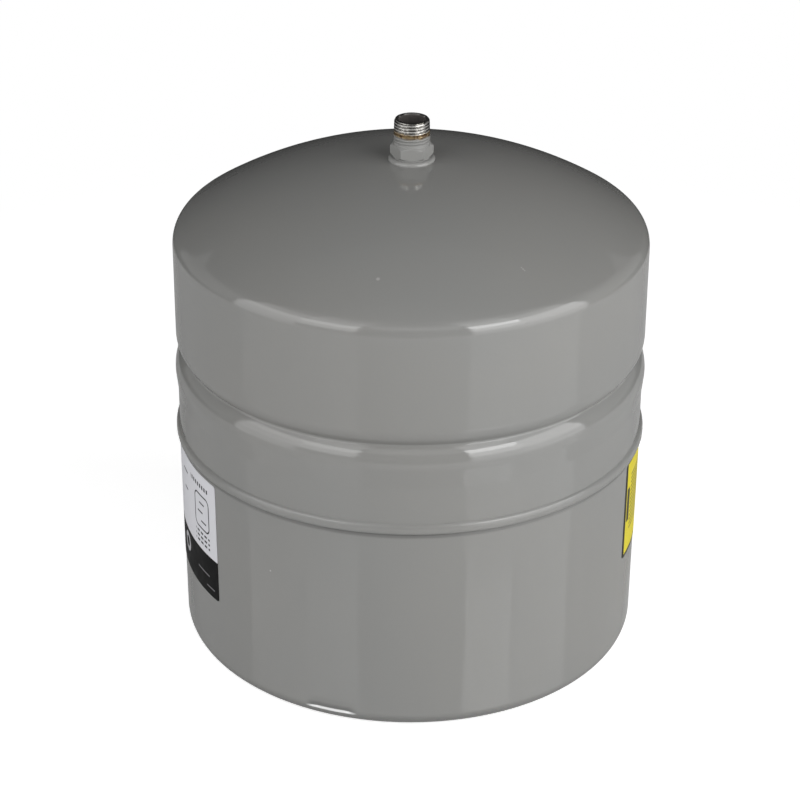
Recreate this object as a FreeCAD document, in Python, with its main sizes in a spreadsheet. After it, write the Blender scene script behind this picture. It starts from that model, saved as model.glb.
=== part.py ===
import FreeCAD, Part
import math
import os
import Sketcher

# Expansion tank for a heating circuit: two pressed shells welded at the girth, a rubber diaphragm
# clamped in a rolled groove, a screwed nipple on the crown and an air valve under the dished base.
# Millimetres; the origin is on the floor, on the tank's axis, with +Z up and the front at -Y.

V = FreeCAD.Vector
doc = FreeCAD.newDocument("expansion_tank")

# Driving dimensions. Radii of the shells are outside radii.
sizes = {
    # pressed sheet of both shells, their shared radius at the joggle, and the small steps from it
    "sheet": 1.2,
    "shell_radius": 141.4,
    "head_step": 0.45,
    "skirt_step": 0.05,
    "foot_step": 0.9,
    # upper shell: crown, corner knuckle and wall above the groove
    "crown_radius": 252.5,
    "knuckle_radius": 12.0,
    "head_wall": 61.6,
    # rolled groove: depth from the upper wall, and the heights of its two flanks
    "groove_depth": 4.85,
    "groove_above": 5.9,
    "groove_below": 5.9,
    "groove_curl": 15.5,
    "groove_root": 1.5,
    # band that swells over the clench ring, between the groove and the skirt
    "shoulder_bulge": 1.13,
    "shoulder_round": 17.0,
    "band_bulge": 1.3,
    "band_above": 7.9,
    "band_round": 15.0,
    "band_below": 11.6,
    "band_foot_round": 30.0,
    "skirt_wall": 29.3,
    # lower shell: dished base, standing knuckle, tapered wall, and a neck joggled in under the skirt
    "dish_radius": 330.0,
    "foot_knuckle": 10.0,
    "foot_land": 3.0,
    "lower_wall": 131.5,
    "joggle": 2.8,
    "joggle_round": 1.5,
    "hem_gap": 0.6,
    "neck_fit": 0.1,
    "neck_overlap": 14.0,
    # weld bead over the skirt's hem
    "weld_above_hem": 6.2,
    "weld_root": 0.2,
    "weld_top_reach": 1.3,
    "weld_top_drop": 0.9,
    "weld_low_reach": 2.0,
    "weld_low_rise": 0.3,
    "weld_round": 7.0,
    # system nipple: flange on the crown, hexagon and half inch taper pipe thread
    "flange_radius": 13.9,
    "flange_thick": 2.1,
    "flange_round": 0.9,
    "seat_margin": 0.3,
    "pilot_radius": 10.4,
    "hole_fit": 0.1,
    "collar_radius": 11.0,
    "collar_height": 0.4,
    "hex_flats": 22.225,
    "hex_height": 7.7,
    "hex_bevel": 1.6,
    "thread_length": 15.0,
    "thread_tip_radius": 10.36,
    "thread_taper": 0.03125,
    "tip_bevel": 0.9,
    "tip_bevel_reach": 0.6,
    "port_radius": 7.5,
    "port_bevel": 0.8,
    # diaphragm and the clench ring that holds its bead in the groove
    "rubber": 2.5,
    "rubber_gap": 0.3,
    "rubber_fit": 0.1,
    "bead_radius": 3.0,
    "rubber_into_bead": 1.0,
    "ring_sheet": 1.5,
    "ring_lip": 2.5,
    "ring_bend": 2.0,
    "ring_fit": 0.15,
    # air valve: steel boss in the base, brass stem
    "boss_flange_radius": 13.0,
    "boss_flange_thick": 2.5,
    "boss_pilot_radius": 8.0,
    "boss_proud": 1.0,
    "boss_barrel_radius": 9.0,
    "boss_barrel_height": 6.0,
    "shank_radius": 4.9,
    "shank_fit": 0.05,
    "stem_hex_flats": 12.7,
    "stem_hex_height": 4.0,
    "stem_hex_bevel": 0.6,
    "stem_neck_radius": 3.4,
    "stem_neck_height": 1.0,
    "stem_radius": 3.85,
    "stem_length": 11.0,
    "stem_bevel": 0.5,
    "air_way_radius": 2.05,
    "core_thread_radius": 2.6,
    "core_thread_depth": 7.5,
    "core_cone": 1.5,
    # valve core
    "core_fit": 0.05,
    "plug_sunk": 3.0,
    "plug_length": 3.2,
    "plug_key_radius": 1.9,
    "plug_key_height": 1.0,
    "pin_radius": 0.6,
    "pin_fit": 0.06,
    "pin_head_radius": 0.8,
    "pin_head_height": 0.6,
    "pin_sunk": 0.2,
    "barrel_radius": 1.6,
    "barrel_bore": 1.25,
    "barrel_length": 7.5,
    "barrel_floor": 0.8,
    "crimp_fit": 0.02,
    "collar_gap": 0.6,
    "pin_collar_radius": 1.1,
    "pin_collar_height": 0.5,
    "cup_radius": 1.75,
    "cup_height": 1.6,
    "cup_wall": 0.3,
    "seal_stand": 0.3,
    "pin_tail": 0.6,
    "spring_wire": 0.3,
    "spring_turns": 6.0,
    "spring_fit": 0.1,
    # cap over the valve stem
    "cap_wall": 1.65,
    "cap_fit": 0.1,
    "cap_clear": 1.2,
    "cap_roof": 1.4,
    "cap_round": 0.8,
    "cap_flute_radius": 0.7,
    "cap_flute_stand": 0.23,
    "cap_flutes": 12,
    "cap_flute_start": 1.0,
    "washer_thick": 0.8,
    "washer_fit": 0.1,
    # stickers, as arcs of the lower wall about their middle bearing
    "label_thick": 0.25,
    "label_gap": 0.05,
    "label_top_gap": 0.5,
    "label_corner": 2.0,
    "main_height": 80.0,
    "main_arc": 61.6,
    "main_bearing": 184.7,
    "side_height": 64.6,
    "side_arc": 41.2,
    "side_bearing": -2.1,
}
sheet = doc.addObject("Spreadsheet::Sheet", "Sizes")
for row, (alias, size) in enumerate(sizes.items(), start=1):
    sheet.set("A%d" % row, alias)
    sheet.set("B%d" % row, str(size))
    sheet.setAlias("B%d" % row, alias)

# Places that follow from the driving dimensions, from the floor up.
# Heights end in _z and radii in _x; a flank's _nx and _nz are its outward normal.
places = {
    # outside radii of the head's wall, the skirt and the foot
    "head_x": "Sizes.shell_radius + Sizes.head_step",
    "skirt_x": "Sizes.shell_radius + Sizes.skirt_step",
    "foot_x": "Sizes.shell_radius - Sizes.foot_step",
    # foot: knuckle tangent to the wall, flat standing land, and a second knuckle up into the dish
    "foot_cx": "Places.foot_x - Sizes.foot_knuckle",
    "taper_dx": "Sizes.shell_radius - Places.foot_cx",
    "taper_dz": "Sizes.lower_wall - Sizes.foot_knuckle",
    "taper_sq": "Places.taper_dx^2 + Places.taper_dz^2",
    "taper_root": "sqrt(Places.taper_sq - Sizes.foot_knuckle^2)",
    "foot_tx": "Places.foot_cx + Sizes.foot_knuckle * (Sizes.foot_knuckle * Places.taper_dx"
               " + Places.taper_root * Places.taper_dz) / Places.taper_sq",
    "foot_tz": "Sizes.foot_knuckle + Sizes.foot_knuckle * (Sizes.foot_knuckle * Places.taper_dz"
               " - Places.taper_root * Places.taper_dx) / Places.taper_sq",
    "land_x": "Places.foot_cx - Sizes.foot_land",
    "dish_share": "Sizes.dish_radius / (Sizes.dish_radius + Sizes.foot_knuckle)",
    "dish_cz": "Sizes.foot_knuckle - sqrt((Sizes.dish_radius + Sizes.foot_knuckle)^2 - Places.land_x^2)",
    "dish_tx": "Places.land_x * Places.dish_share",
    "dish_tz": "Places.dish_cz + (Sizes.foot_knuckle - Places.dish_cz) * Places.dish_share",
    "boss_seat_x": "Sizes.boss_flange_radius + Sizes.seat_margin",
    "valve_z": "Places.dish_cz + sqrt(Sizes.dish_radius^2 - Places.boss_seat_x^2)",
    # joggle, neck and hem
    "neck_x": "Places.skirt_x - Sizes.sheet - Sizes.neck_fit",
    "neck_z": "Sizes.lower_wall + Sizes.joggle",
    "hem_z": "Places.neck_z + Sizes.hem_gap",
    "neck_top_z": "Places.hem_z + Sizes.neck_overlap",
    # band, groove and head
    "band_foot_z": "Places.hem_z + Sizes.skirt_wall",
    "crest_x": "Places.skirt_x + Sizes.band_bulge",
    "crest_z": "Places.band_foot_z + Sizes.band_below",
    "shoulder_x": "Places.skirt_x + Sizes.shoulder_bulge",
    "shoulder_z": "Places.crest_z + Sizes.band_above",
    "root_x": "Places.head_x - Sizes.groove_depth",
    "root_z": "Places.shoulder_z + Sizes.groove_below",
    "curl_z": "Places.root_z + Sizes.groove_above",
    "head_z": "Places.curl_z + Sizes.head_wall",
    "knuckle_cx": "Places.head_x - Sizes.knuckle_radius",
    "crown_share": "Sizes.crown_radius / (Sizes.crown_radius - Sizes.knuckle_radius)",
    "crown_cz": "Places.head_z - sqrt((Sizes.crown_radius - Sizes.knuckle_radius)^2 - Places.knuckle_cx^2)",
    "crown_tx": "Places.knuckle_cx * Places.crown_share",
    "crown_tz": "Places.crown_cz + (Places.head_z - Places.crown_cz) * Places.crown_share",
    "nipple_seat_x": "Sizes.flange_radius + Sizes.seat_margin",
    "nipple_z": "Places.crown_cz + sqrt(Sizes.crown_radius^2 - Places.nipple_seat_x^2)",
    # groove flanks, and how far its rounded root stands off the sharp corner
    "upper_run": "sqrt(Sizes.groove_depth^2 + Sizes.groove_above^2)",
    "upper_nx": "Sizes.groove_above / Places.upper_run",
    "upper_nz": "-Sizes.groove_depth / Places.upper_run",
    "lower_reach": "Places.shoulder_x - Places.root_x",
    "lower_run": "sqrt(Places.lower_reach^2 + Sizes.groove_below^2)",
    "lower_nx": "Sizes.groove_below / Places.lower_run",
    "lower_nz": "Places.lower_reach / Places.lower_run",
    "flank_cosine": "Places.upper_nx * Places.lower_nx + Places.upper_nz * Places.lower_nz",
    "throat_x": "Places.root_x - Sizes.groove_root"
                " + Sizes.groove_root * (Places.upper_nx + Places.lower_nx) / (1 + Places.flank_cosine)",
    # centre of the arc that rolls over from the lower flank to the band
    "band_run": "sqrt((Places.crest_x - Places.shoulder_x)^2 + Sizes.band_above^2)",
    "band_nx": "Sizes.band_above / Places.band_run",
    "band_nz": "(Places.crest_x - Places.shoulder_x) / Places.band_run",
    "shoulder_share": "Sizes.shoulder_round"
                      " / (1 + Places.lower_nx * Places.band_nx + Places.lower_nz * Places.band_nz)",
    "shoulder_cx": "Places.shoulder_x - Places.shoulder_share * (Places.lower_nx + Places.band_nx)",
    "shoulder_cz": "Places.shoulder_z - Places.shoulder_share * (Places.lower_nz + Places.band_nz)",
    # diaphragm inside the head, down to its bead under the groove
    "skin_off": "Sizes.sheet + Sizes.rubber_gap",
    "skin_crown": "Sizes.crown_radius - Places.skin_off",
    "skin_knuckle": "Sizes.knuckle_radius - Places.skin_off",
    "skin_tx": "Places.knuckle_cx * Places.skin_crown / (Places.skin_crown - Places.skin_knuckle)",
    "skin_tz": "Places.crown_cz + (Places.head_z - Places.crown_cz) * Places.skin_crown"
               " / (Places.skin_crown - Places.skin_knuckle)",
    "skin_apex_z": "Places.crown_cz + Places.skin_crown",
    "skin_x": "Places.head_x - Places.skin_off",
    "skin_curl_z": "Places.curl_z + Places.skin_off * (Places.upper_run - Sizes.groove_above)"
                   " / Sizes.groove_depth",
    "skin_curl": "Sizes.groove_curl - Places.skin_off",
    "skin_throat_x": "Places.throat_x - Sizes.sheet - Sizes.rubber_fit",
    "skin_throat_z": "Places.curl_z - (Places.skin_off + (Places.skin_throat_x - Places.head_x)"
                     " * Places.upper_nx) / Places.upper_nz",
    "ring_x": "Places.skin_throat_x - Sizes.rubber - Sizes.rubber_fit",
    "bead_x": "Places.ring_x + Sizes.rubber_fit + Sizes.bead_radius",
    "bead_reach": "Sizes.shoulder_round - Sizes.sheet - Sizes.rubber_fit - Sizes.bead_radius",
    "bead_z": "Places.shoulder_cz + sqrt(Places.bead_reach^2 - (Places.bead_x - Places.shoulder_cx)^2)",
    # clench ring: floor behind the bead, lip along the upper flank, flange out to the band
    "ring_seat_z": "Places.bead_z - Sizes.bead_radius - Sizes.rubber_fit",
    "ring_reach": "Sizes.shoulder_round - Sizes.sheet - Sizes.ring_fit",
    "ring_reach_x": "Places.shoulder_cx"
                    " + sqrt(Places.ring_reach^2 - (Places.ring_seat_z - Places.shoulder_cz)^2)",
    "ring_upper_z": "Places.curl_z - (Places.skin_off + Sizes.rubber + Sizes.rubber_fit"
                    " + (Places.ring_x - Places.head_x) * Places.upper_nx) / Places.upper_nz",
    "ring_lip_x": "Places.ring_x - Sizes.ring_lip * Places.upper_nz",
    "ring_lip_z": "Places.ring_upper_z + Sizes.ring_lip * Places.upper_nx",
    # air valve, measured outwards from the base's outer face
    "stem_hex_z": "Sizes.boss_proud",
    "stem_neck_z": "Places.stem_hex_z + Sizes.stem_hex_height",
    "stem_foot_z": "Places.stem_neck_z + Sizes.stem_neck_height",
    "mouth_z": "Places.stem_foot_z + Sizes.stem_length",
    "boss_inner_z": "-Sizes.sheet - Sizes.boss_flange_thick - Sizes.boss_barrel_height",
    "cone_z": "Places.mouth_z - Sizes.core_thread_depth",
    "cone_foot_z": "Places.cone_z - Sizes.core_cone",
    "plug_top_z": "Places.mouth_z - Sizes.plug_sunk",
    "plug_key_z": "Places.plug_top_z - Sizes.plug_key_height",
    "plug_z": "Places.plug_key_z - Sizes.plug_length",
    "barrel_z": "Places.plug_z - Sizes.barrel_length",
    "barrel_seat_z": "Places.barrel_z + Sizes.barrel_floor",
    "pin_top_z": "Places.mouth_z - Sizes.pin_sunk",
    "pin_hole_x": "Sizes.pin_radius + Sizes.pin_fit",
    "pin_neck_z": "Places.pin_top_z - Sizes.pin_head_height",
    "collar_top_z": "Places.plug_z - Sizes.collar_gap",
    "collar_z": "Places.collar_top_z - Sizes.pin_collar_height",
    "cup_top_z": "Places.barrel_z - Sizes.seal_stand",
    "cup_z": "Places.cup_top_z - Sizes.cup_height",
    "pin_foot_z": "Places.cup_z - Sizes.pin_tail",
    "spring_x": "Sizes.barrel_bore - Sizes.spring_fit - Sizes.spring_wire / 2",
    "spring_travel": "Places.collar_z - Places.barrel_seat_z - Sizes.spring_wire",
    "cap_bore_x": "Sizes.stem_radius + Sizes.cap_fit",
    "cap_x": "Places.cap_bore_x + Sizes.cap_wall",
    "cap_flute_x": "Places.cap_x + Sizes.cap_flute_stand",
    "cap_skirt_z": "Places.stem_foot_z + Sizes.cap_clear",
    "cap_roof_z": "Places.mouth_z + Sizes.washer_thick + 2 * Sizes.washer_fit",
    "cap_end_z": "Places.cap_roof_z + Sizes.cap_roof",
    "washer_z": "Places.mouth_z + Sizes.washer_fit",
    # stickers under the weld
    "label_top_z": "Sizes.lower_wall - Sizes.label_top_gap",
    "wall_slope": "(Sizes.shell_radius - Places.foot_tx) / (Sizes.lower_wall - Places.foot_tz)",
}
derived = doc.addObject("App::VarSet", "Places")
for name in places:
    derived.addProperty("App::PropertyFloat", name)
for name, formula in places.items():
    derived.setExpression(name, formula)
doc.recompute()


def number(formula):
    """Value of a size formula now."""
    result = sheet.evalExpression(formula)
    return float(getattr(result, "Value", result))


class Outline:
    """A chain of lines and arcs in a sketch, each corner held at two named sizes."""

    def __init__(self, sketch):
        self.sketch = sketch
        self.corners = []

    def corner(self, x, y, round=None, arc=None, way=1):
        """round: radius that rounds this corner. arc: radius of the arc that leaves it for the
        next corner, with its centre to the left of the way (way=1) or to the right (way=-1)."""
        self.corners.append({"x": x, "y": y, "round": round, "arc": arc, "way": way,
                             "at": V(number(x), number(y), 0)})
        return self

    def hold(self, kind, geometry, point, formula):
        """Dimension from an axis to a point, bound to its size, or the point put on that axis."""
        if abs(number(formula)) < 1e-9:
            axis = -2 if kind == "DistanceX" else -1
            self.sketch.addConstraint(Sketcher.Constraint("PointOnObject", geometry, point, axis))
            return
        index = self.sketch.addConstraint(
            Sketcher.Constraint(kind, -1, 1, geometry, point, number(formula)))
        self.sketch.setExpression("Constraints[%d]" % index, formula)

    def rounded(self, index):
        """Start, end and centre of the arc that rounds a corner."""
        here = self.corners[index]["at"]
        before = (self.corners[index - 1]["at"] - here).normalize()
        after = (self.corners[(index + 1) % len(self.corners)]["at"] - here).normalize()
        radius = number(self.corners[index]["round"])
        half = before.getAngle(after) / 2
        bisector = (before + after).normalize()
        run = radius / math.tan(half)
        return here + before * run, here + after * run, here + bisector * (radius / math.sin(half))

    def bow(self, start, end, centre):
        """Arc from start to end about a centre; also which of its ends comes first."""
        turn = (start - centre).cross(end - centre).z
        first = math.atan2(start.y - centre.y, start.x - centre.x)
        last = math.atan2(end.y - centre.y, end.x - centre.x)
        circle = Part.Circle(centre, V(0, 0, 1), (start - centre).Length)
        if turn > 0:
            return Part.ArcOfCircle(circle, first, last), 1, 2
        return Part.ArcOfCircle(circle, last, first), 2, 1

    def draw(self, closed=True):
        sketch = self.sketch
        count = len(self.corners)
        legs = []
        starts = {}
        ends = {}
        for index in range(count):
            if self.corners[index]["round"]:
                starts[index] = self.rounded(index)
        for index in range(count if closed else count - 1):
            after = (index + 1) % count
            begin = starts[index][1] if index in starts else self.corners[index]["at"]
            finish = starts[after][0] if after in starts else self.corners[after]["at"]
            radius = self.corners[index]["arc"]
            if radius:
                middle = (begin + finish) * 0.5
                along = finish - begin
                left = V(-along.y, along.x, 0).normalize() * self.corners[index]["way"]
                rise = math.sqrt(number(radius) ** 2 - (along.Length / 2) ** 2)
                shape, first, last = self.bow(begin, finish, middle + left * rise)
            else:
                shape, first, last = Part.LineSegment(begin, finish), 1, 2
            leg = sketch.addGeometry(shape)
            if radius:
                held = sketch.addConstraint(Sketcher.Constraint("Radius", leg, number(radius)))
                sketch.setExpression("Constraints[%d]" % held, radius)
            legs.append((leg, first, last))
        for index in range(count):
            corner = self.corners[index]
            inner = legs[index - 1] if closed or index > 0 else None
            outer = legs[index] if index < len(legs) else None
            if index in starts:
                self.round_off(corner, starts[index], inner, outer)
                continue
            if inner and outer:
                sketch.addConstraint(
                    Sketcher.Constraint("Coincident", inner[0], inner[2], outer[0], outer[1]))
            leg, point = (outer[0], outer[1]) if outer else (inner[0], inner[2])
            self.hold("DistanceX", leg, point, corner["x"])
            self.hold("DistanceY", leg, point, corner["y"])

    def round_off(self, corner, places_of_arc, inner, outer):
        """Tangent arc between two lines whose sharp corner keeps its own two sizes."""
        sketch = self.sketch
        begin, finish, centre = places_of_arc
        shape, first, last = self.bow(begin, finish, centre)
        arc = sketch.addGeometry(shape)
        sharp = sketch.addGeometry(Part.Point(corner["at"]), True)
        sketch.addConstraint(Sketcher.Constraint("Tangent", inner[0], inner[2], arc, first))
        sketch.addConstraint(Sketcher.Constraint("Tangent", arc, last, outer[0], outer[1]))
        sketch.addConstraint(Sketcher.Constraint("PointOnObject", sharp, 1, inner[0]))
        sketch.addConstraint(Sketcher.Constraint("PointOnObject", sharp, 1, outer[0]))
        held = sketch.addConstraint(Sketcher.Constraint("Radius", arc, number(corner["round"])))
        sketch.setExpression("Constraints[%d]" % held, corner["round"])
        self.hold("DistanceX", sharp, 1, corner["x"])
        self.hold("DistanceY", sharp, 1, corner["y"])


def flat_on(body, name, role):
    """Empty sketch on one of a body's own origin planes."""
    sketch = body.newObject("Sketcher::SketchObject", name)
    plane = [f for f in body.Origin.OriginFeatures if f.Role == role][0]
    sketch.AttachmentSupport = [(plane, "")]
    sketch.MapMode = "FlatFace"
    doc.recompute()
    return sketch


def upright(name):
    """Empty free sketch in the plane through the tank's axis, radius across and height up."""
    sketch = doc.addObject("Sketcher::SketchObject", name)
    sketch.Placement = FreeCAD.Placement(V(0, 0, 0), FreeCAD.Rotation(V(1, 0, 0), 90))
    return sketch


def spun_sheet(name, line, thickness, inward):
    """Sheet of even thickness on the inner side of a line, turned about the axis."""
    skin = doc.addObject("Part::Offset2D", name + "_section")
    skin.Source = line
    skin.Fill = True
    skin.Mode = "Skin"
    skin.Join = "Intersection"
    skin.setExpression("Value", ("" if inward > 0 else "-") + thickness)
    spun = doc.addObject("Part::Revolution", name)
    spun.Source = skin
    spun.Axis = V(0, 0, 1)
    spun.Angle = 360
    spun.Solid = True
    return spun


def turned(name, corners):
    """Body turned about its axis from a closed profile of (radius, height) corners."""
    body = doc.addObject("PartDesign::Body", name)
    sketch = flat_on(body, name + "_profile", "XZ_Plane")
    outline = Outline(sketch)
    for corner in corners:
        outline.corner(*corner)
    outline.draw()
    turn = body.newObject("PartDesign::Revolution", name + "_turn")
    turn.Profile = sketch
    turn.ReferenceAxis = (sketch, ["V_Axis"])
    turn.Angle = 360
    doc.recompute()
    return body


def cut_hexagon(body, flats, top, height):
    """Mill a turned body's collar to a hexagon with corners on its X axis."""
    sketch = flat_on(body, body.Name + "_hexagon", "XY_Plane")
    sketch.setExpression("AttachmentOffset.Base.z", top)
    corner = number(flats) / math.sqrt(3)
    ring = sketch.addGeometry(Part.Circle(V(0, 0, 0), V(0, 0, 1), corner), True)
    outside = sketch.addGeometry(Part.Circle(V(0, 0, 0), V(0, 0, 1), number(flats)))
    for circle, formula in ((ring, flats + " / sqrt(3)"), (outside, flats)):
        sketch.addConstraint(Sketcher.Constraint("Coincident", circle, 3, -1, 1))
        held = sketch.addConstraint(Sketcher.Constraint("Radius", circle, number(formula)))
        sketch.setExpression("Constraints[%d]" % held, formula)
    points = [V(corner * math.cos(math.radians(60 * k)), corner * math.sin(math.radians(60 * k)), 0)
              for k in range(6)]
    sides = [sketch.addGeometry(Part.LineSegment(points[k], points[(k + 1) % 6])) for k in range(6)]
    for k, side in enumerate(sides):
        after = sides[(k + 1) % 6]
        sketch.addConstraint(Sketcher.Constraint("Coincident", side, 2, after, 1))
        sketch.addConstraint(Sketcher.Constraint("PointOnObject", side, 2, ring))
        if k:
            sketch.addConstraint(Sketcher.Constraint("Equal", sides[0], side))
    sketch.addConstraint(Sketcher.Constraint("PointOnObject", sides[0], 1, -1))
    doc.recompute()
    mill = body.newObject("PartDesign::Pocket", body.Name + "_mill")
    mill.Profile = sketch
    mill.setExpression("Length", height)
    doc.recompute()


def on_base(body):
    """Stand an air valve piece in the base, its local +Z pointing out and down."""
    body.Placement = FreeCAD.Placement(V(0, 0, 0), FreeCAD.Rotation(V(1, 0, 0), 180))
    body.setExpression("Placement.Base.z", "Places.valve_z")
    return body


# Upper shell: from the nipple hole over the crown, knuckle, wall, groove and band to the hem
line = upright("upper_line")
outline = Outline(line)
outline.corner("Sizes.pilot_radius + Sizes.hole_fit", "Places.nipple_z")
outline.corner("Places.nipple_seat_x", "Places.nipple_z", arc="Sizes.crown_radius", way=-1)
outline.corner("Places.crown_tx", "Places.crown_tz", arc="Sizes.knuckle_radius", way=-1)
outline.corner("Places.head_x", "Places.head_z")
outline.corner("Places.head_x", "Places.curl_z", round="Sizes.groove_curl")
outline.corner("Places.root_x", "Places.root_z", round="Sizes.groove_root")
outline.corner("Places.shoulder_x", "Places.shoulder_z", round="Sizes.shoulder_round")
outline.corner("Places.crest_x", "Places.crest_z", round="Sizes.band_round")
outline.corner("Places.skirt_x", "Places.band_foot_z", round="Sizes.band_foot_round")
outline.corner("Places.skirt_x", "Places.hem_z")
outline.draw(closed=False)
upper_shell = spun_sheet("upper_shell", line, "Sizes.sheet", -1)

# Lower shell: from the valve hole over the dished base and the foot to the joggled neck
line = upright("lower_line")
outline = Outline(line)
outline.corner("Sizes.boss_pilot_radius + Sizes.hole_fit", "Places.valve_z")
outline.corner("Places.boss_seat_x", "Places.valve_z", arc="Sizes.dish_radius", way=-1)
outline.corner("Places.dish_tx", "Places.dish_tz", arc="Sizes.foot_knuckle")
outline.corner("Places.land_x", "0")
outline.corner("Places.foot_cx", "0", arc="Sizes.foot_knuckle")
outline.corner("Places.foot_tx", "Places.foot_tz")
outline.corner("Sizes.shell_radius", "Sizes.lower_wall", round="Sizes.joggle_round")
outline.corner("Places.neck_x", "Places.neck_z", round="Sizes.joggle_round")
outline.corner("Places.neck_x", "Places.neck_top_z")
outline.draw(closed=False)
lower_shell = spun_sheet("lower_shell", line, "Sizes.sheet", 1)

# Weld bead: over the skirt's hem, rooted on the neck under it
seam_weld = turned("seam_weld", [
    ("Places.neck_x", "Places.hem_z - Sizes.weld_root"),
    ("Places.skirt_x + Sizes.weld_low_reach", "Places.hem_z + Sizes.weld_low_rise",
     None, "Sizes.weld_round"),
    ("Places.skirt_x + Sizes.weld_top_reach",
     "Places.hem_z + Sizes.weld_above_hem - Sizes.weld_top_drop"),
    ("Places.skirt_x", "Places.hem_z + Sizes.weld_above_hem"),
    ("Places.skirt_x", "Places.hem_z"),
    ("Places.neck_x", "Places.hem_z"),
])

# Diaphragm: rubber dish lying up against the head, its bead clenched under the groove
line = upright("diaphragm_line")
outline = Outline(line)
outline.corner("0", "Places.skin_apex_z", arc="Places.skin_crown", way=-1)
outline.corner("Places.skin_tx", "Places.skin_tz", arc="Places.skin_knuckle", way=-1)
outline.corner("Places.skin_x", "Places.head_z")
outline.corner("Places.skin_x", "Places.skin_curl_z", round="Places.skin_curl")
outline.corner("Places.skin_throat_x", "Places.skin_throat_z", round="Sizes.groove_root")
outline.corner("Places.skin_throat_x", "Places.bead_z + Sizes.rubber_into_bead")
outline.draw(closed=False)
skin = spun_sheet("diaphragm_skin", line, "Sizes.rubber", 1)
bead = doc.addObject("Part::Torus", "diaphragm_bead")
bead.setExpression("Radius1", "Places.bead_x")
bead.setExpression("Radius2", "Sizes.bead_radius")
bead.setExpression("Placement.Base.z", "Places.bead_z")
diaphragm = doc.addObject("Part::Fuse", "diaphragm")
diaphragm.Base = skin
diaphragm.Tool = bead

# Clench ring: lip up the groove's upper flank, floor behind the bead, flange out to the band
line = upright("ring_line")
outline = Outline(line)
outline.corner("Places.ring_lip_x", "Places.ring_lip_z")
outline.corner("Places.ring_x", "Places.ring_upper_z", round="Sizes.ring_bend")
outline.corner("Places.ring_x", "Places.ring_seat_z", round="Sizes.ring_bend")
outline.corner("Places.ring_reach_x", "Places.ring_seat_z")
outline.draw(closed=False)
clench_ring = spun_sheet("clench_ring", line, "Sizes.ring_sheet", -1)

# System nipple: pilot in the crown's hole, round flange, hexagon and taper thread over a bored port
hexagon = "Sizes.flange_thick + Sizes.collar_height"
shank = hexagon + " + Sizes.hex_height"
tip = shank + " + Sizes.thread_length"
hex_corner = "Sizes.hex_flats / sqrt(3)"
system_nipple = turned("system_nipple", [
    ("Sizes.port_radius", "-Sizes.sheet"),
    ("Sizes.pilot_radius", "-Sizes.sheet"),
    ("Sizes.pilot_radius", "0"),
    ("Sizes.flange_radius", "0"),
    ("Sizes.flange_radius", "Sizes.flange_thick", "Sizes.flange_round"),
    ("Sizes.collar_radius", "Sizes.flange_thick"),
    ("Sizes.collar_radius", hexagon),
    (hex_corner, hexagon + " + Sizes.hex_bevel"),
    (hex_corner, shank + " - Sizes.hex_bevel"),
    ("Sizes.collar_radius", shank),
    ("Sizes.thread_tip_radius + Sizes.thread_taper * Sizes.thread_length", shank),
    ("Sizes.thread_tip_radius + Sizes.thread_taper * Sizes.tip_bevel", tip + " - Sizes.tip_bevel"),
    ("Sizes.thread_tip_radius - Sizes.tip_bevel_reach", tip),
    ("Sizes.port_radius + Sizes.port_bevel", tip),
    ("Sizes.port_radius", tip + " - Sizes.port_bevel"),
])
cut_hexagon(system_nipple, "Sizes.hex_flats", shank, "Sizes.hex_height")
system_nipple.setExpression("Placement.Base.z", "Places.nipple_z")

# Valve boss: welded through the base, threaded for the brass stem
valve_boss = on_base(turned("valve_boss", [
    ("Sizes.shank_radius + Sizes.shank_fit", "Places.boss_inner_z"),
    ("Sizes.boss_barrel_radius", "Places.boss_inner_z"),
    ("Sizes.boss_barrel_radius", "-Sizes.sheet - Sizes.boss_flange_thick"),
    ("Sizes.boss_flange_radius", "-Sizes.sheet - Sizes.boss_flange_thick"),
    ("Sizes.boss_flange_radius", "-Sizes.sheet"),
    ("Sizes.boss_pilot_radius", "-Sizes.sheet"),
    ("Sizes.boss_pilot_radius", "Sizes.boss_proud"),
    ("Sizes.shank_radius + Sizes.shank_fit", "Sizes.boss_proud"),
]))

# Valve stem: shank in the boss, hexagon, neck and threaded stem, bored and coned for the core
stem_corner = "Sizes.stem_hex_flats / sqrt(3)"
valve_stem = turned("valve_stem", [
    ("Sizes.air_way_radius", "Places.boss_inner_z"),
    ("Sizes.shank_radius", "Places.boss_inner_z"),
    ("Sizes.shank_radius", "Places.stem_hex_z"),
    (stem_corner, "Places.stem_hex_z"),
    (stem_corner, "Places.stem_neck_z - Sizes.stem_hex_bevel"),
    ("Sizes.stem_hex_flats / 2", "Places.stem_neck_z"),
    ("Sizes.stem_neck_radius", "Places.stem_neck_z"),
    ("Sizes.stem_neck_radius", "Places.stem_foot_z"),
    ("Sizes.stem_radius", "Places.stem_foot_z"),
    ("Sizes.stem_radius", "Places.mouth_z - Sizes.stem_bevel"),
    ("Sizes.stem_radius - Sizes.stem_bevel", "Places.mouth_z"),
    ("Sizes.core_thread_radius", "Places.mouth_z"),
    ("Sizes.core_thread_radius", "Places.cone_z"),
    ("Sizes.air_way_radius", "Places.cone_foot_z"),
])
cut_hexagon(valve_stem, "Sizes.stem_hex_flats", "Places.stem_neck_z", "Sizes.stem_hex_height")
on_base(valve_stem)

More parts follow.
